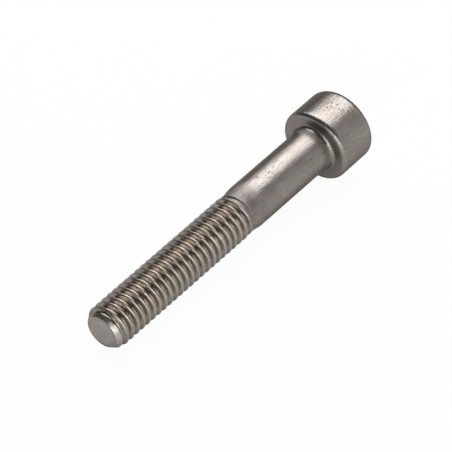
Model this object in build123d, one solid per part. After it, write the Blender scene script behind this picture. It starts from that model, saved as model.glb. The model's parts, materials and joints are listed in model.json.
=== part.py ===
"""M6 x 40 cheese head screw with a six-lobe socket, in millimetres.

The screw is formed from one piece of steel, so it is one solid. It is made upright about the Z axis,
with the bearing face of the head at z = 0, the head above it and the point below. It is then laid down
as it rests on a flat surface: on the rim of its head and on the thread crests at its point, which
faces -X. The origin is on that surface, under the middle of the screw.
"""

import math
import os

from build123d import *

# Head
head_diameter = 9.8
head_height = 6.0
head_top_radius = 1.0  # rounds the outer edge of the top face
head_rim_radius = 0.6  # rounds the outer edge of the bearing face

# Six-lobe socket of size 30, pressed into the top face
socket_across_lobes = 5.6
socket_across_flutes = 3.95
socket_lobe_radius = 0.457
socket_depth = 2.4  # of the six-lobe form
socket_floor_depth = 0.5  # of the cone that the punch leaves below that form
socket_mouth_chamfer = 0.15

# Shank, with a fillet into the bearing face and a neck before the thread
length = 40.0  # from the bearing face to the point
shank_diameter = 5.9
shank_length = 13.3
fillet_length = 0.75  # along the shank
fillet_width = 0.45  # across the bearing face
neck_diameter = 5.54
neck_length = 1.5  # along which the shank narrows to the neck

# Thread, from the neck to the point, as a plain cylinder over its crests
thread_crest_diameter = 5.8
point_diameter = 4.4  # of the flat face at the point
point_chamfer_length = 1.1

neck_end = shank_length + neck_length  # the thread reaches from here to the point
crest_start = length - point_chamfer_length  # of the full crests, at the point


def outline():
    """Half section of the screw without its socket, with x as the radius."""
    head_r, shank_r, neck_r = head_diameter / 2, shank_diameter / 2, neck_diameter / 2
    crest_r, point_r = thread_crest_diameter / 2, point_diameter / 2
    rim_r, top_r = head_r - head_rim_radius, head_r - head_top_radius
    fillet_r = shank_r + fillet_width
    with BuildSketch() as section:
        with BuildLine():
            Polyline(
                (top_r, head_height),
                (0, head_height),
                (0, -length),
                (point_r, -length),
                (crest_r, -crest_start),
                (crest_r, neck_r - crest_r - neck_end),
                (neck_r, -neck_end),
                (shank_r, -shank_length),
                (shank_r, -fillet_length),
            )
            EllipticalCenterArc((fillet_r, -fillet_length), fillet_width, fillet_length, 90)
            Line((fillet_r, 0), (rim_r, 0))
            CenterArc((rim_r, head_rim_radius), head_rim_radius, -90, 90)
            Line((head_r, head_rim_radius), (head_r, head_height - head_top_radius))
            CenterArc((top_r, head_height - head_top_radius), head_top_radius, 0, 90)
        make_face()
    return section.sketch


def star(wider=0):
    """Six round lobes joined by six hollow flutes, each arc tangent to the next, widened all round."""
    lobe_r, flute_edge = socket_lobe_radius, socket_across_flutes / 2
    lobe_c = socket_across_lobes / 2 - lobe_r
    # Seen along a flute, the centre of the lobe beside it lies this far out and this far across.
    out, across = lobe_c * math.cos(math.pi / 6), lobe_c * math.sin(math.pi / 6)
    # The two centres lie as far apart as the two radii together, which gives the flute's radius.
    reach = out - flute_edge
    flute_r = (reach**2 + across**2 - lobe_r**2) / (2 * (lobe_r + reach))
    flute_c = flute_edge + flute_r
    flute_half = math.degrees(math.atan2(across, flute_c - out))
    lobe_half = flute_half + 30
    with BuildSketch() as section:
        with BuildLine():
            for lobe in range(0, 360, 60):
                flute = lobe + 30
                lobe_centre = Vector(lobe_c, 0).rotate(Axis.Z, lobe)
                flute_centre = Vector(flute_c, 0).rotate(Axis.Z, flute)
                CenterArc(lobe_centre, lobe_r + wider, lobe - lobe_half, 2 * lobe_half)
                CenterArc(flute_centre, flute_r - wider, flute + 180 + flute_half, -2 * flute_half)
        make_face()
    return section.sketch


def socket():
    """Tool for the socket: the star, the cone under it and the chamfer along its edge."""
    form = extrude(star(), -socket_depth)
    hung = (Align.CENTER, Align.CENTER, Align.MAX)
    cone = Pos(0, 0, -socket_depth) * Cone(0, socket_across_flutes / 2, socket_floor_depth, align=hung)
    # The chamfer's slope runs on above the top face by as much as it goes below it.
    above = Pos(0, 0, socket_mouth_chamfer) * star(2 * socket_mouth_chamfer)
    below = Pos(0, 0, -socket_mouth_chamfer) * star()
    mouth = loft([above, below], ruled=True)
    return Pos(0, 0, head_height) * (form + cone + mouth)


def screw():
    """The whole screw, upright."""
    return revolve(Plane.XZ * outline(), Axis.Z) - socket()


def lay_down(upright):
    """Lays the screw on the rim of its head and the crests at its point, with the point to -X."""
    along = crest_start + head_rim_radius
    out = head_diameter / 2 - head_rim_radius - thread_crest_diameter / 2
    lean = math.atan2(out, along) + math.asin(head_rim_radius / math.hypot(along, out))
    laid = Rotation(0, 90 - math.degrees(lean), 0) * upright
    box = laid.bounding_box()
    return Pos(-box.center().X, 0, -box.min.Z) * laid


os.makedirs("parts", exist_ok=True)
export_step(lay_down(screw()), "parts/screw.step")
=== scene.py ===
"""A lying machine screw with a star drive: its surface, its steel and the studio round it.

The screw is worked out about its own axis, in a frame with its origin in the middle of the bearing
face, z towards the top of the head and the point at -length, and is then laid on the surface z = 0.
"""

import json
import math

import bmesh
import bpy
import numpy as np
from mathutils import Matrix, Vector


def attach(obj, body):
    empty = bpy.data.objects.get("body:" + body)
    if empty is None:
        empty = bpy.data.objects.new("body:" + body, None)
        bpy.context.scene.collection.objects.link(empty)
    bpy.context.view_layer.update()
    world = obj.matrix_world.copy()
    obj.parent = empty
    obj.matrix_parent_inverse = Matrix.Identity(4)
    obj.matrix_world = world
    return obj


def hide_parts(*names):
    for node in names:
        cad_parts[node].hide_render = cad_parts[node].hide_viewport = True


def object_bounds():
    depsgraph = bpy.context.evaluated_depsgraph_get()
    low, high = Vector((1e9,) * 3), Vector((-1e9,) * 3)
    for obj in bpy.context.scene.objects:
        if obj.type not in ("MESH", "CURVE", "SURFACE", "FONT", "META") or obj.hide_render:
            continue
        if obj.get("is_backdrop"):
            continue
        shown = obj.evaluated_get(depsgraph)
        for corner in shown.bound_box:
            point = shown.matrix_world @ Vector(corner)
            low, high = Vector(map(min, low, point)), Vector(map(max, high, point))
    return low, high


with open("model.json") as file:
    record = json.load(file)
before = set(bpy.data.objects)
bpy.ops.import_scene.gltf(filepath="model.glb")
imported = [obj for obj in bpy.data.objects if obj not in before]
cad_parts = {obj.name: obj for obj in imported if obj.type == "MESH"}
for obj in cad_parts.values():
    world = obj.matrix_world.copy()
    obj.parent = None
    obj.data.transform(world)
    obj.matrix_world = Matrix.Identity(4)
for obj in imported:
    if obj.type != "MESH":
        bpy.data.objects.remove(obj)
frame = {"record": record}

bl_info = {
    "name": "Star Drive Screw",
    "version": (1, 0, 0),
    "blender": (4, 5, 0),
    "location": "3D View > Sidebar > Screw",
    "description": "Makes a steel machine screw with a rolled thread and a star drive, and its studio",
    "category": "Add Mesh",
}

MM = 0.001
TURN = 2 * math.pi
COLUMNS = 144  # of the mesh round the axis, a multiple of six for the star
PITCH_ROWS = 20  # of the mesh over one pitch of the thread
ROW_CROWDING = 0.6  # of those rows at the crest and the root, from 0 for evenly spaced ones
MERGE = 1e-7  # distance in metres within which points are one
SHARP_ANGLE = math.radians(38)  # between faces, from which their edge isn't shaded smooth

POINT_ROUND = 0.22 * MM  # over which the chamfer at the point runs into the crests
ROOT_ROUND = 0.12 * MM  # over which the groove's flanks run into its flat root
CREST_ROUND = 0.10 * MM  # over which they run into the crests
RUNOUT_LIFT = 1.15  # of the thread's depth, by which the groove has risen at its end
FIRST_WALL_RING = 0.3 * MM  # from the top face down to the star's first ring below its chamfer
FLAT_HEIGHT = 0.01 * MM  # above the point, up to which the surface counts as its flat

RUBBED_REACH = 1.6  # from the middle of a crest to the end of its rubbed steel, in crest widths
RUBBED_FADE = 1.5  # of the rubbed steel as the groove rises: it ends at 1 / 1.5 of the run-out
CHAMFER_FADE = 0.2 * MM  # over which the chamfer's rubbed steel sets in
CUT_FADE = 8  # of the cut end's look: it sets in over an eighth of the flat's radius


def length_property(name, millimetres, description):
    """A length that is shown in the scene's units."""
    return bpy.props.FloatProperty(
        name=name,
        default=millimetres * MM,
        min=0,
        subtype="DISTANCE",
        unit="LENGTH",
        precision=5,
        description=description,
    )


def colour_property(name, colour, description):
    """A linear colour without alpha."""
    return bpy.props.FloatVectorProperty(
        name=name, default=colour, min=0, max=1, size=3, subtype="COLOR", description=description
    )


def angle_property(name, degrees, description):
    """An angle, shown in degrees."""
    return bpy.props.FloatProperty(
        name=name,
        default=math.radians(degrees),
        subtype="ANGLE",
        unit="ROTATION",
        description=description,
    )


def factor_property(name, value, description, most=1.0):
    """A plain number from 0 upwards."""
    return bpy.props.FloatProperty(name=name, default=value, min=0, max=most, description=description)


class ScrewSizes(bpy.types.PropertyGroup):
    """Sizes of the screw"""

    head_diameter: length_property("Head Diameter", 9.8, "Width of the cylinder head")
    head_height: length_property("Head Height", 6.0, "From the bearing face to the top face")
    head_top_radius: length_property("Top Radius", 1.0, "Rounding at the edge of the top face")
    head_rim_radius: length_property("Rim Radius", 0.6, "Rounding at the edge of the bearing face")
    socket_across_lobes: length_property("Across Lobes", 5.6, "Widest size of the star")
    socket_across_flutes: length_property("Across Flutes", 3.95, "Narrowest size of the star")
    socket_lobe_radius: length_property("Lobe Radius", 0.457, "Radius of each of the six lobes")
    socket_depth: length_property("Socket Depth", 2.4, "Depth of the star's upright walls")
    socket_floor_depth: length_property("Floor Depth", 0.5, "Depth of the cone in the floor")
    socket_mouth_chamfer: length_property("Mouth Chamfer", 0.15, "Chamfer along the star's edge")
    length: length_property("Length", 40.0, "From the bearing face to the point")
    shank_diameter: length_property("Shank Diameter", 5.9, "Width of the plain shank")
    shank_length: length_property("Shank Length", 13.3, "From the bearing face to the neck")
    fillet_length: length_property("Fillet Length", 0.75, "Size along the shank of its fillet")
    fillet_width: length_property("Fillet Width", 0.45, "Size across the head of that fillet")
    neck_diameter: length_property("Neck Diameter", 5.54, "Width where the shank meets the thread")
    neck_length: length_property("Neck Length", 1.5, "Along which the shank narrows")
    crest_rise: length_property("Crest Rise", 1.4, "Along which the last crests grow from the neck")
    pitch: length_property("Pitch", 1.0, "From one thread to the next")
    crest_diameter: length_property("Crest Diameter", 5.8, "Width over the thread's crests")
    crest_width: length_property("Crest Width", 0.12, "Of the flat between two grooves")
    root_diameter: length_property("Root Diameter", 4.66, "Width at the bottom of the groove")
    flank_angle: angle_property("Flank Angle", 60, "Between the two flanks of the groove")
    thread_start: angle_property("Thread Start", 282, "Where the groove crosses the point")
    runout_turns: factor_property("Run-out Turns", 0.8, "In which the groove rises out of the steel", 3)
    point_diameter: length_property("Point Diameter", 4.4, "Width of the flat point")
    point_chamfer: length_property("Point Chamfer", 0.95, "Length of the chamfer at the point")


class SteelFinish(bpy.types.PropertyGroup):
    """Colours and gloss of the steel"""

    steel: colour_property("Steel", (0.325, 0.295, 0.274), "Tumbled steel")
    # painted reflection: the groove's steel is tan and brighter than the shank's, so that the overhead
    # light reflected twice between the flanks shows gold
    groove: colour_property("Groove", (0.44, 0.373, 0.296), "Steel between the threads")
    crest: colour_property("Crest", (0.52, 0.484, 0.456), "Steel on the rubbed crests")
    cut: colour_property("Cut", (0.58, 0.545, 0.515), "Steel on the point's flat")
    stain: colour_property("Stain", (0.055, 0.045, 0.036), "Pits and marks")
    clouded: colour_property("Clouded", (0.20, 0.175, 0.15), "Wide dull patches")
    dented: colour_property("Dented", (0.17, 0.15, 0.135), "Dents and streaks")
    roughness: factor_property("Roughness", 0.34, "Of the shank and the head")
    groove_roughness: factor_property("Groove Roughness", 0.20, "Of the rolled flanks")
    cut_roughness: factor_property("Cut Roughness", 0.55, "Of the point's flat")
    pit_size: length_property("Pit Size", 0.22, "Distance between the dents of the tumbled surface")
    pit_depth: length_property("Pit Depth", 0.018, "Depth of those dents")


class Studio(bpy.types.PropertyGroup):
    """Camera, lights and floor"""

    azimuth: angle_property("Azimuth", -50.4227, "Of the camera round the screw")
    elevation: angle_property("Elevation", 42.2653, "Of the camera above the floor")
    distance: length_property("Distance", 386.5765, "From the camera to the middle of the screw")
    lens: bpy.props.FloatProperty(
        name="Lens", default=254.617, unit="CAMERA", description="Focal length on a 36 mm sensor"
    )
    aim: bpy.props.FloatVectorProperty(
        name="Aim",
        default=(-0.00062657, -0.00039048, -0.00080501),
        size=3,
        subtype="TRANSLATION",
        unit="LENGTH",
        precision=5,
        description="From the middle of the screw to where the camera looks",
    )
    floor: colour_property("Floor", (0.86, 0.86, 0.86), "Floor and backdrop")
    floor_seen: factor_property("Floor Seen", 0.96, "Share of plain white where the camera sees it")
    floor_mirrored: factor_property("Floor Mirrored", 0.42, "The same share in the steel")
    world: colour_property("World", (0.04, 0.04, 0.042), "Light from all round")
    world_mirrored: factor_property("World Mirrored", 0.02, "Share of plain white in the steel")
    overhead: factor_property("Overhead", 3.8, "Brightness of the overhead softbox", 50)
    front: factor_property("Front", 0.70, "Brightness of the front softbox", 50)
    side: factor_property("Side", 3.0, "Brightness of the softbox beside the point", 50)


# ---------------------------------------------------------------------------------------- surfaces


def smooth_step(x):
    """3 x^2 - 2 x^3 between 0 and 1, level beyond them."""
    x = np.clip(x, 0, 1)
    return x * x * (3 - 2 * x)


def smooth_min(a, b, width):
    """The lower of a and b, rounded over width where they cross.

    It is lowered there by h^2 width / 4, with h the share of width by which the two still overlap.
    """
    overlap = np.clip(width - np.abs(a - b), 0, None) / width
    return np.minimum(a, b) - overlap * overlap * width / 4


def smooth_max(a, b, width):
    """The higher of a and b, rounded in the same way."""
    return -smooth_min(-a, -b, width)


def crest_radius(sizes, z):
    """Radius over the crests at height z: chamfer, crests, neck and shank, one after the other.

    The chamfer is a straight line in z, met by the crests' radius through a smooth minimum. The neck
    is a smooth step down from the shank, and the crests grow out of it by a second smooth step.
    """
    crest, neck = sizes.crest_diameter / 2, sizes.neck_diameter / 2
    shank, point = sizes.shank_diameter / 2, sizes.point_diameter / 2
    neck_end = -sizes.shank_length - sizes.neck_length
    slope = (crest - point) / sizes.point_chamfer
    chamfer = point + (z + sizes.length) * slope
    below = neck + (crest - neck) * smooth_step((neck_end - z) / sizes.crest_rise)
    above = neck + (shank - neck) * smooth_step((z - neck_end) / sizes.neck_length)
    return smooth_min(chamfer, np.where(z < neck_end, below, above), POINT_ROUND)


def groove_profile(sizes, across, risen):
    """Radius of the groove's surface at a distance along the axis from its middle.

    Its flanks are straight lines down from the edges of the crests, and the flat root meets them
    through a smooth maximum. As the groove runs out, it is lifted by risen.
    """
    slope = 1 / math.tan(sizes.flank_angle / 2)
    root, crest = sizes.root_diameter / 2, sizes.crest_diameter / 2
    lift = (crest - root) * RUNOUT_LIFT * risen
    flank = crest + (across - (sizes.pitch - sizes.crest_width) / 2) * slope
    return smooth_max(root, flank, ROOT_ROUND) + lift


def threaded_part(sizes):
    """A ribbon one pitch wide, wound up round the axis so that its upper edge is its next turn's lower.

    Step t of the ribbon is at the angle 2 pi t / COLUMNS and climbs one pitch in a turn. Row k lies
    u - c sin(4 pi u) / (4 pi) of a pitch above the middle of a crest, with u = k / PITCH_ROWS and c the
    crowding. Heights are cut off at the point and at the end of the neck, where all the steps of a
    column meet in one ring. Each point has two marks: its depth in the groove, and 1 where the steel
    is rubbed, on the crests and on the chamfer.
    """
    low, high = -sizes.length, -sizes.shank_length
    first = low - sizes.pitch
    steps = int(COLUMNS * math.ceil((high - first) / sizes.pitch))
    step = np.arange(steps + COLUMNS + 1)[:, None]
    row = np.arange(PITCH_ROWS)[None, :] / PITCH_ROWS
    row = row - ROW_CROWDING * np.sin(2 * TURN * row) / (2 * TURN)
    climbed = sizes.pitch * step / COLUMNS
    height = first + climbed + sizes.pitch * row
    z = np.clip(height, low, high)
    middle = first + climbed + sizes.pitch / 2
    # A clipped row belongs to the groove that it is nearest to, so that the ring has one radius.
    past = (z - middle + sizes.pitch / 2) % sizes.pitch - sizes.pitch / 2
    across, nearest = np.abs(past), z - past
    neck_end = -sizes.shank_length - sizes.neck_length
    runout_start = neck_end - sizes.runout_turns * sizes.pitch
    risen = np.clip((nearest - runout_start) / (neck_end - runout_start), 0, 1)
    crest = crest_radius(sizes, z)
    groove = groove_profile(sizes, across, risen)
    radius = smooth_min(crest, groove, CREST_ROUND)
    depth = np.clip((crest - radius) / ((sizes.crest_diameter - sizes.root_diameter) / 2), 0, 1)
    from_crest = (sizes.pitch / 2 - across) / sizes.crest_width
    on_crest = smooth_step(RUBBED_REACH - from_crest) * smooth_step(1 - RUBBED_FADE * risen)
    below_edge = sizes.point_chamfer - sizes.length - z
    # The chamfer's rubbed steel ends halfway down the groove.
    on_chamfer = smooth_step(below_edge / CHAMFER_FADE) * smooth_step(1 - 2 * depth)
    rubbed = np.maximum(on_crest, on_chamfer)
    around = sizes.thread_start + math.pi + TURN * step / COLUMNS + 0 * row
    index = np.arange(z.size).reshape(z.shape)
    following = np.concatenate([index, np.roll(index[:, :1], -COLUMNS, axis=0)], axis=1)
    a, b = following[:steps, :-1], following[1 : steps + 1, :-1]
    c, d = following[1 : steps + 1, 1:], following[:steps, 1:]
    faces = np.stack([a, b, c, d], axis=-1).reshape(-1, 4)
    points = np.stack([radius, around, z], axis=-1).reshape(-1, 3)
    return points, faces, np.stack([depth, rubbed], axis=-1).reshape(-1, 2)


def star_radius(sizes, around, wider=0.0):
    """Radius of the six-lobe star in each direction, with its edge moved outwards all round.

    A lobe is a circle about a centre on its direction, and a flute is a circle about a centre
    between two lobes. The two touch on the line between their centres. The radius is where the
    direction leaves the lobe's circle, or where it first meets the flute's.
    """
    lobe_r = sizes.socket_lobe_radius
    lobe_c = sizes.socket_across_lobes / 2 - lobe_r
    flute_edge = sizes.socket_across_flutes / 2
    out, across = lobe_c * math.cos(math.pi / 6), lobe_c * math.sin(math.pi / 6)
    reach = out - flute_edge
    flute_r = (reach**2 + across**2 - lobe_r**2) / (2 * (lobe_r + reach))
    flute_c = flute_edge + flute_r
    leaning = math.atan2(across, flute_c - out) + math.pi / 6
    touch = math.atan2(
        (lobe_r + wider) * math.sin(leaning), lobe_c + (lobe_r + wider) * math.cos(leaning)
    )
    off = np.abs((around + math.pi / 6) % (math.pi / 3) - math.pi / 6)
    beside = math.pi / 6 - off
    in_lobe = np.clip((lobe_r + wider) ** 2 - (lobe_c * np.sin(off)) ** 2, 0, None)
    in_flute = np.clip((flute_r - wider) ** 2 - (flute_c * np.sin(beside)) ** 2, 0, None)
    lobe = lobe_c * np.cos(off) + np.sqrt(in_lobe)
    flute = flute_c * np.cos(beside) - np.sqrt(in_flute)
    return np.where(off < touch, lobe, flute)


def arc(centre_r, centre_z, half_r, half_z, start, end, count):
    """Rings along part of an ellipse in the plane of radius and height, angles in degrees."""
    angle = np.radians(np.linspace(start, end, count))
    return [(centre_r + half_r * math.cos(t), centre_z + half_z * math.sin(t)) for t in angle]


def straight(start, end, count):
    """Rings spaced evenly along a line in the plane of radius and height, without its first."""
    share = np.linspace(0, 1, count + 1)[1:, None]
    return [tuple(ring) for ring in np.array(start) * (1 - share) + np.array(end) * share]


def turned_part(sizes, around):
    """Rings from the neck up over the shank, its fillet and the head to the edge of the top face."""
    shank, head = sizes.shank_diameter / 2, sizes.head_diameter / 2
    rim, top = sizes.head_rim_radius, sizes.head_top_radius
    fillet_r = shank + sizes.fillet_width
    rings = [(shank, -sizes.shank_length)]
    wide, tall = sizes.fillet_width, sizes.fillet_length
    rings += straight(rings[-1], (shank, -tall), count=12)
    rings += arc(fillet_r, -tall, wide, tall, start=180, end=90, count=9)[1:]
    rings += straight(rings[-1], (head - rim, 0), count=4)
    rings += arc(head - rim, rim, rim, rim, start=-90, end=0, count=10)[1:]
    rings += straight(rings[-1], (head, sizes.head_height - top), count=6)
    rings += arc(head - top, sizes.head_height - top, top, top, start=0, end=90, count=12)[1:]
    radius = np.array([ring[0] for ring in rings])[:, None] + 0 * around
    height = np.array([ring[1] for ring in rings])[:, None] + 0 * around
    return radius, height


def socket_part(sizes, around):
    """Rings from the edge of the top face over the star's chamfer and walls to its conical floor."""
    top_edge = sizes.head_diameter / 2 - sizes.head_top_radius
    star = star_radius(sizes, around)
    mouth = star_radius(sizes, around, sizes.socket_mouth_chamfer)
    flute = sizes.socket_across_flutes / 2
    top, floor = sizes.head_height, sizes.head_height - sizes.socket_depth
    share = np.linspace(0, 1, 5)[:, None]
    face = top_edge + (mouth - top_edge) * share[1:]
    lower_rings = np.linspace(top - FIRST_WALL_RING, floor, 6)
    wall = np.array([top - sizes.socket_mouth_chamfer, *lower_rings])[:, None]
    ledge = star + (flute - star) * share[2::2]
    cone = flute * (1 - share[1:-1]) + 0 * around
    radius = np.concatenate([face, np.repeat(star[None, :], len(wall), 0), ledge, cone])
    cone_z = floor - sizes.socket_floor_depth * share[1:-1]
    height = np.concatenate([top + 0 * face, wall + 0 * around, floor + 0 * ledge, cone_z + 0 * around])
    return radius, height


def ring_faces(rings):
    """Quads between rings of COLUMNS points each, closed round the axis."""
    index = np.arange(rings * COLUMNS).reshape(rings, COLUMNS)
    beside = np.roll(index, -1, axis=1)
    faces = np.stack([index[:-1], beside[:-1], beside[1:], index[1:]], axis=-1)
    return faces.reshape(-1, 4)


def fan_faces(ring, pole, upward):
    """Triangles between a ring of points and a point on the axis."""
    beside = np.roll(ring, -1)
    order = [ring, beside, 0 * ring + pole] if upward else [beside, ring, 0 * ring + pole]
    return np.stack(order, axis=-1)


class Placing:
    """Where the screw's own frame lies in the row's: the head's top face and the axis are mounts."""

    def __init__(self, sizes):
        mounts = {mount["name"]: mount for mount in frame["record"]["mounts"]}
        self.axis = np.array(mounts["drive"]["axis"], float)
        self.axis /= np.linalg.norm(self.axis)
        top = np.array(mounts["drive"]["pos_m"], float)
        self.origin = top - self.axis * sizes.head_height
        self.side = np.array([0.0, 1.0, 0.0])
        self.down = np.cross(self.side, self.axis)

    def place(self, points):
        """Turns radius, angle and height into the row's x, y and z. Angle 0 is straight down."""
        radius, around, height = points.T
        across = self.down[None, :] * (radius * np.cos(around))[:, None]
        aside = self.side[None, :] * (radius * np.sin(around))[:, None]
        return self.origin + across + aside + self.axis[None, :] * height[:, None]


def screw_surface(sizes):
    """The whole screw as points, quads and triangles, with three marks at each point.

    The first mark is its depth in the groove, the second is 1 where the crests and the chamfer are
    rubbed, and the third is 1 on the cut end.
    """
    thread, thread_faces, marks = threaded_part(sizes)
    around = sizes.thread_start + math.pi + TURN * np.arange(COLUMNS) / COLUMNS
    turned_r, turned_z = turned_part(sizes, around)
    socket_r, socket_z = socket_part(sizes, around)
    radius, height = np.concatenate([turned_r, socket_r]), np.concatenate([turned_z, socket_z])
    body = np.stack([radius, around + 0 * radius, height], axis=-1).reshape(-1, 3)
    body_faces = ring_faces(len(radius)) + len(thread)
    # The point's flat end: rings that shrink the thread's first ring, whose radius the groove dents.
    ring = thread[np.arange(COLUMNS) * PITCH_ROWS]
    shares = np.array([0.25, 0.5, 0.75, 1.0])[:, None]
    end_r = shares * ring[:, 0]
    end = np.stack([end_r, ring[:, 1] + 0 * end_r, 0 * end_r - sizes.length], axis=-1).reshape(-1, 3)
    end_faces = ring_faces(len(shares)) + len(thread) + len(body)
    poles = np.array([[0, 0, -sizes.length], [0, 0, socket_z[-1, 0] - sizes.socket_floor_depth / 4]])
    points = np.concatenate([thread, body, end, poles])
    first_end = len(thread) + len(body)
    low_pole = len(points) - 2
    columns = np.arange(COLUMNS)
    point_fan = fan_faces(first_end + columns, low_pole, False)
    floor_fan = fan_faces(first_end - COLUMNS + columns, low_pole + 1, True)
    marks = np.concatenate([marks, np.zeros((len(points) - len(thread), 2))])
    # A point lies on the cut end when it is on the flat and clear of its edge.
    on_flat = points[:, 2] < FLAT_HEIGHT - sizes.length
    clear = smooth_step((1 - points[:, 0] / sizes.point_diameter * 2) * CUT_FADE)
    marks = np.concatenate([marks, (on_flat * clear)[:, None]], axis=1)
    quads = np.concatenate([thread_faces, body_faces, end_faces])
    return points, quads, np.concatenate([point_fan, floor_fan]), marks


def mesh_object(name, points, quads, triangles, marks):
    """A smooth mesh object of the points, with the doubles merged and sharp edges kept."""
    mesh = bpy.data.meshes.new(name)
    mesh.from_pydata(points.tolist(), [], quads.tolist() + triangles.tolist())
    for mark, values in zip(("groove", "crest", "cut"), marks.T):
        mesh.attributes.new(mark, "FLOAT", "POINT").data.foreach_set("value", values.astype(np.float32))
    work = bmesh.new()
    work.from_mesh(mesh)
    bmesh.ops.remove_doubles(work, verts=work.verts, dist=MERGE)
    bmesh.ops.dissolve_degenerate(work, edges=work.edges, dist=MERGE)
    work.to_mesh(mesh)
    work.free()
    mesh.shade_smooth()
    mesh.set_sharp_from_angle(angle=SHARP_ANGLE)
    piece = bpy.data.objects.new(name, mesh)
    bpy.context.scene.collection.objects.link(piece)
    return piece


# --------------------------------------------------------------------------------------- materials


class Wire:
    """A node's output. Sums and products of wires and numbers add Math nodes."""

    def __init__(self, shader, socket):
        self.shader, self.socket = shader, socket

    def __add__(self, other):
        return self.shader.math("ADD", self, other)

    def __mul__(self, other):
        return self.shader.math("MULTIPLY", self, other)

    def __sub__(self, other):
        return self.shader.math("SUBTRACT", self, other)

    def __rsub__(self, other):
        return self.shader.math("SUBTRACT", other, self)

    __radd__ = __add__
    __rmul__ = __mul__


class Shader:
    """The node tree of a new material or world, made node by node."""

    def __init__(self, name, kind="Material"):
        self.kind = kind
        self.owner = (bpy.data.worlds if kind == "World" else bpy.data.materials).new(name)
        self.owner.use_nodes = True
        self.tree = self.owner.node_tree
        self.tree.nodes.clear()

    def node(self, kind, settings=(), output=0, **inputs):
        """Adds a node, sets it, then gives its sockets values or links. Underscores stand for spaces."""
        made = self.tree.nodes.new(kind)
        for name, value in dict(settings).items():
            setattr(made, name, value)
        for name, value in inputs.items():
            key = int(name[1:]) if name[1:].isdigit() else name.replace("_", " ")
            socket = made.inputs[key]
            if isinstance(value, Wire):
                self.tree.links.new(value.socket, socket)
            else:
                socket.default_value = value
        return Wire(self, made.outputs[output]) if made.outputs else None

    def math(self, operation, *values):
        """A Math node on wires and numbers."""
        return self.node(
            "ShaderNodeMath",
            {"operation": operation},
            **{f"i{place}": value for place, value in enumerate(values)},
        )

    def between(self, value, low, high):
        """0 below low, 1 above high and a smooth step between them."""
        return self.node(
            "ShaderNodeMapRange",
            {"interpolation_type": "SMOOTHSTEP"},
            Value=value,
            From_Min=low,
            From_Max=high,
        )

    def mix(self, factor, first, second):
        """Mixes two colours."""
        colours = {
            f"i{place}": value if isinstance(value, Wire) else (*value[:], 1.0)
            for place, value in ((6, first), (7, second))
        }
        return self.node("ShaderNodeMix", {"data_type": "RGBA"}, output=2, i0=factor, **colours)

    def seen(self, by_camera, in_mirrors):
        """One level for rays from the camera and another for reflected and refracted ones."""
        camera, glossy, transmitted = (self.node("ShaderNodeLightPath", output=at) for at in (0, 3, 6))
        return camera * by_camera + (glossy + transmitted) * in_mirrors

    def finish(self, surface):
        """Links the shader to the output and gives back its material or world."""
        self.node("ShaderNodeOutput" + self.kind, Surface=surface)
        return self.owner


SPECULAR_TINT = (0.4, 0.38, 0.36, 1.0)  # of the steel at grazing angles
CLOUDED_SHARE, DENTED_SHARE, STAIN_SHARE = 0.25, 0.30, 0.9  # of those colours at their strongest
DENT_ROUGHNESS, CLOUD_ROUGHNESS = 0.25, 0.12  # by which the roughness follows those noises
STREAK_RELIEF, BLOTCH_RELIEF, PIT_RELIEF = 1.2, 1.2, 0.8  # heights and depth, with the dents' as 1
CLUSTER_WHOLE = 0.3  # of its reach, within which a cluster is at its strength
CLUSTER_RAISE = 0.09  # by which a cluster raises the specks' noise, so that more of it turns dark
NOISE_MIDDLE = 0.5

# Clusters of specks: the middle in millimetres (along the screw from its bearing face, aside and
# upwards), the reach in millimetres, and the strength.
SPECK_CLUSTERS = (
    ((3.3, -0.4, 4.9), 1.5, 1.0),
    ((3.7, -1.9, 4.5), 0.7, 1.0),
    ((-10, 0, 2.95), 2.5, 0.6),
)

# Rougher stretches of the screw: where one sets in, is whole, begins to fade and has ended, in
# millimetres from the bearing face, and the roughness that it adds.
ROUGH_STRETCHES = (
    (-1.7, -0.9, -0.6, -0.35, 0.3),  # beside the fillet
    (-16.2, -15.0, -13.2, -12.0, 0.2),  # the neck
)


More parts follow.
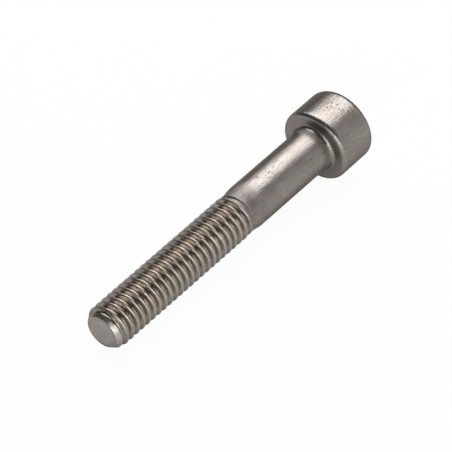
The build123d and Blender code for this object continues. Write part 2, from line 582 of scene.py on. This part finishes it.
def steel_material(finish, placing):
    """Tumbled steel: dents and streaks along the screw, clusters of dark specks, and tan grooves, whose
    brighter tan is a painted reflection of the overhead light seen twice between the flanks.

    The rubbed crests and chamfer and the cut end are paler, and the cut end is matt. Dents, streaks,
    blotches and specks are relief too. Colour and roughness read the surface's three marks, and the
    rest reads its place on the screw.
    """
    shader = Shader("tumbled_steel")
    at = shader.node("ShaderNodeTexCoord", output=3)
    lean = math.asin(placing.axis[2])
    turned = shader.node(
        "ShaderNodeMapping",
        {"vector_type": "TEXTURE"},
        Vector=at,
        Location=tuple(placing.origin),
        Rotation=(0, -lean, 0),
    )
    height = shader.node("ShaderNodeSeparateXYZ", Vector=turned)

    def mark(name):
        """One of the marks at the points of the mesh."""
        return shader.node("ShaderNodeAttribute", {"attribute_name": name}, output=2)

    def noise(per_pit, stretch, detail, roughness=0.55):
        """Noise of so many waves to the distance between pits, drawn out along the screw."""
        along = shader.node("ShaderNodeMapping", Vector=turned, Scale=(1 / stretch, 1, 1))
        return shader.node(
            "ShaderNodeTexNoise",
            Vector=along,
            Scale=per_pit / finish.pit_size,
            Detail=detail,
            Roughness=roughness,
        )

    def cluster(centre, reach, strength):
        """The strength round a place on the screw, falling to 0 at its reach."""
        away = shader.node(
            "ShaderNodeVectorMath",
            {"operation": "DISTANCE"},
            output=1,
            i0=turned,
            i1=Vector(centre) * MM,
        )
        return (1 - shader.between(away, CLUSTER_WHOLE * reach * MM, reach * MM)) * strength

    def stretch_of(start, whole, fading, end, added):
        """The added roughness along a stretch of the screw, and 0 beyond its two ends."""
        risen = shader.between(height, start * MM, whole * MM)
        return risen * (1 - shader.between(height, fading * MM, end * MM)) * added

    groove, crest, cut = mark("groove"), mark("crest"), mark("cut")
    dents = noise(per_pit=1.0, stretch=1.6, detail=4)
    streaks = noise(per_pit=1.1, stretch=10, detail=2)
    blotches = noise(per_pit=0.35, stretch=1.8, detail=2)
    clouds = noise(per_pit=0.12, stretch=1.5, detail=3)
    specks = noise(per_pit=1.0, stretch=1.2, detail=2, roughness=0.5)
    clustered = sum(cluster(*place) for place in SPECK_CLUSTERS)
    pits = shader.between(specks + clustered * CLUSTER_RAISE, low=0.67, high=0.73)

    # Painted reflection: deep in the groove the steel turns to the brighter tan that paints the gold of
    # the light reflected twice between the flanks.
    plain = shader.mix(shader.between(groove, low=0.15, high=0.6), finish.steel, finish.groove)
    plain = shader.mix(crest, plain, finish.crest)
    plain = shader.mix(cut, plain, finish.cut)
    clouded = shader.between(clouds, low=0.3, high=0.75) * CLOUDED_SHARE
    dented = shader.between(dents + streaks, low=0.85, high=1.15) * DENTED_SHARE
    worn = shader.mix(clouded, plain, finish.clouded)
    worn = shader.mix(dented, worn, finish.dented)
    colour = shader.mix(pits * STAIN_SHARE, worn, finish.stain)

    in_groove = shader.between(groove, low=0.03, high=0.3)
    rough = (
        finish.roughness
        + (dents - NOISE_MIDDLE) * DENT_ROUGHNESS
        + (clouds - NOISE_MIDDLE) * CLOUD_ROUGHNESS
        + in_groove * (finish.groove_roughness - finish.roughness)
        + cut * (finish.cut_roughness - finish.roughness)
        + sum(stretch_of(*stretch) for stretch in ROUGH_STRETCHES)
    )
    relief = dents + streaks * STREAK_RELIEF + blotches * BLOTCH_RELIEF - pits * PIT_RELIEF
    bump = shader.node(
        "ShaderNodeBump", Height=relief * finish.pit_depth, Strength=1.0, Distance=1.0
    )
    surface = shader.node(
        "ShaderNodeBsdfPrincipled",
        Base_Color=colour,
        Metallic=1.0,
        Roughness=rough,
        Specular_Tint=SPECULAR_TINT,
        Normal=bump,
    )
    return shader.finish(surface)


BEHIND_START, BEHIND_END = -4 * MM, 3 * MM  # along y, where the painted shade on the floor behind the screw sets in
BEHIND_PAINTED_SHADE = 0.85  # painted shade behind the screw: the part of the floor's share of plain white in the steel that it takes away


def floor_material(studio):
    """Pale floor that looks white from the camera and keeps soft shadows.

    In the steel it shows less of that white behind the screw than in front of it: a painted shade for
    the light falling off behind the screw.
    """
    shader = Shader("floor")
    at = shader.node("ShaderNodeTexCoord", output=3)
    back = shader.node("ShaderNodeSeparateXYZ", output=1, Vector=at)
    # Painted shade: the floor's white in the steel is dimmed behind the screw, where less light falls.
    behind = shader.between(back, BEHIND_START, BEHIND_END)
    mirrored = studio.floor_mirrored * (1 - behind * BEHIND_PAINTED_SHADE)
    seen = shader.seen(studio.floor_seen, mirrored)
    matt = shader.node("ShaderNodeBsdfDiffuse", Color=(*studio.floor, 1.0))
    white = shader.node("ShaderNodeEmission", Color=(1.0, 1.0, 1.0, 1.0), Strength=1.0)
    return shader.finish(shader.node("ShaderNodeMixShader", Fac=seen, i1=matt, i2=white))


# --------------------------------------------------------------------------------------- operators


class SCREW_OT_make_screw(bpy.types.Operator):
    """Make the screw's surface with its thread, socket and steel, in place of the plain solid"""

    bl_idname = "screw.make_screw"
    bl_label = "Make Screw"

    def execute(self, context):
        sizes, finish = context.scene.screw_sizes, context.scene.steel_finish
        placing = Placing(sizes)
        points, quads, triangles, marks = screw_surface(sizes)
        piece = mesh_object("threaded_screw", placing.place(points), quads, triangles, marks)
        piece.data.materials.append(steel_material(finish, placing))
        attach(piece, "root")
        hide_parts("screw")
        return {"FINISHED"}


FLOOR_REACH = 40  # from the middle to each side of the floor, in lengths of the screw
FLOOR_GAP = 0.02 * MM  # between the screw and the floor

# The softboxes, each with its direction from the screw, its distance, its size along and across the
# screw, all three in lengths of the screw, and the angle by which it is turned in its plane.
SOFTBOXES = (
    ("overhead", (0.45, 0.34, 0.82), 6, 4.6, 7.6, 48),
    ("front", (0.56, -0.80, 0.23), 8, 16, 7.2, 37),
    ("side", (-0.75, -0.65, 0.15), 8, 11, 5.1, -16),
)


def softbox(name, target, size, direction, distance, along, across, turned, brightness):
    """An area light of an even brightness that faces a target from a direction.

    Its distance and its two sizes are in lengths of the screw. The first size runs along the screw
    until the light is turned in its own plane, by an angle in degrees.
    """
    data = bpy.data.lights.new(name, "AREA")
    data.shape, data.size, data.size_y = "RECTANGLE", along * size, across * size
    data.energy = brightness * math.pi * data.size * data.size_y
    lamp = bpy.data.objects.new(name, data)
    outward = Vector(direction).normalized()
    second = outward.cross((1, 0, 0)).normalized()
    facing = Matrix((second.cross(outward), second, outward)).transposed()
    lamp.location = target + outward * distance * size
    lamp.rotation_euler = (facing @ Matrix.Rotation(math.radians(turned), 3, "Z")).to_euler()
    lamp.visible_camera = False
    bpy.context.scene.collection.objects.link(lamp)


class SCREW_OT_make_studio(bpy.types.Operator):
    """Make the floor, the soft lights, the world and the camera"""

    bl_idname = "screw.make_studio"
    bl_label = "Make Studio"

    def execute(self, context):
        studio = context.scene.studio
        low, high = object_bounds()
        middle, size = (low + high) / 2, (high - low).length
        reach, level = FLOOR_REACH * size, low.z - FLOOR_GAP
        floor = bpy.data.meshes.new("floor")
        corners = [(x * reach, y * reach, level) for x, y in ((-1, -1), (1, -1), (1, 1), (-1, 1))]
        floor.from_pydata(corners, [], [(0, 1, 2, 3)])
        floor.materials.append(floor_material(studio))
        ground = bpy.data.objects.new("floor", floor)
        context.scene.collection.objects.link(ground)
        ground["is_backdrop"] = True
        for name, *placed in SOFTBOXES:
            softbox(name, middle, size, *placed, getattr(studio, name))
        self.make_world(context.scene, studio)
        self.make_camera(context.scene, studio, middle)
        context.scene.view_settings.view_transform = "Standard"
        return {"FINISHED"}

    def make_world(self, scene, studio):
        """Even light from all round, which looks white from the camera."""
        shader = Shader("studio", "World")
        seen = shader.seen(1.0, studio.world_mirrored)
        colour = shader.mix(seen, tuple(studio.world), (1.0, 1.0, 1.0))
        sky = shader.node("ShaderNodeBackground", Color=colour)
        scene.world = shader.finish(sky)

    def make_camera(self, scene, studio, middle):
        """A long lens at the studio's angle, aimed beside the middle of the screw."""
        data = bpy.data.cameras.new("camera")
        data.lens, data.sensor_width = studio.lens, 36.0
        data.clip_start, data.clip_end = 0.01, 20.0
        turn, rise = studio.azimuth, studio.elevation
        back = Vector(
            (math.sin(turn) * math.cos(rise), -math.cos(turn) * math.cos(rise), math.sin(rise))
        )
        camera = bpy.data.objects.new("camera", data)
        camera.location = middle + Vector(studio.aim) + back * studio.distance
        camera.rotation_euler = (-back).to_track_quat("-Z", "Y").to_euler()
        scene.collection.objects.link(camera)
        scene.camera = camera


class SCREW_PT_panel(bpy.types.Panel):
    """Sizes, finish and studio of the screw"""

    bl_label = "Star Drive Screw"
    bl_idname = "SCREW_PT_panel"
    bl_space_type = "VIEW_3D"
    bl_region_type = "UI"
    bl_category = "Screw"

    def draw(self, context):
        layout, scene = self.layout, context.scene
        for group, operator in (
            (scene.screw_sizes, SCREW_OT_make_screw.bl_idname),
            (scene.steel_finish, None),
            (scene.studio, SCREW_OT_make_studio.bl_idname),
        ):
            box = layout.box()
            for name in group.bl_rna.properties.keys():
                if name not in ("rna_type", "name"):
                    box.prop(group, name)
            if operator:
                box.operator(operator)


CLASSES = (
    ScrewSizes,
    SteelFinish,
    Studio,
    SCREW_OT_make_screw,
    SCREW_OT_make_studio,
    SCREW_PT_panel,
)


def register():
    for cls in CLASSES:
        bpy.utils.register_class(cls)
    bpy.types.Scene.screw_sizes = bpy.props.PointerProperty(type=ScrewSizes)
    bpy.types.Scene.steel_finish = bpy.props.PointerProperty(type=SteelFinish)
    bpy.types.Scene.studio = bpy.props.PointerProperty(type=Studio)


def unregister():
    del bpy.types.Scene.studio
    del bpy.types.Scene.steel_finish
    del bpy.types.Scene.screw_sizes
    for cls in reversed(CLASSES):
        bpy.utils.unregister_class(cls)


def main():
    """Makes the screw and its studio."""
    register()
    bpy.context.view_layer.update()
    bpy.ops.screw.make_screw()
    bpy.ops.screw.make_studio()


if __name__ == "__main__":
    main()
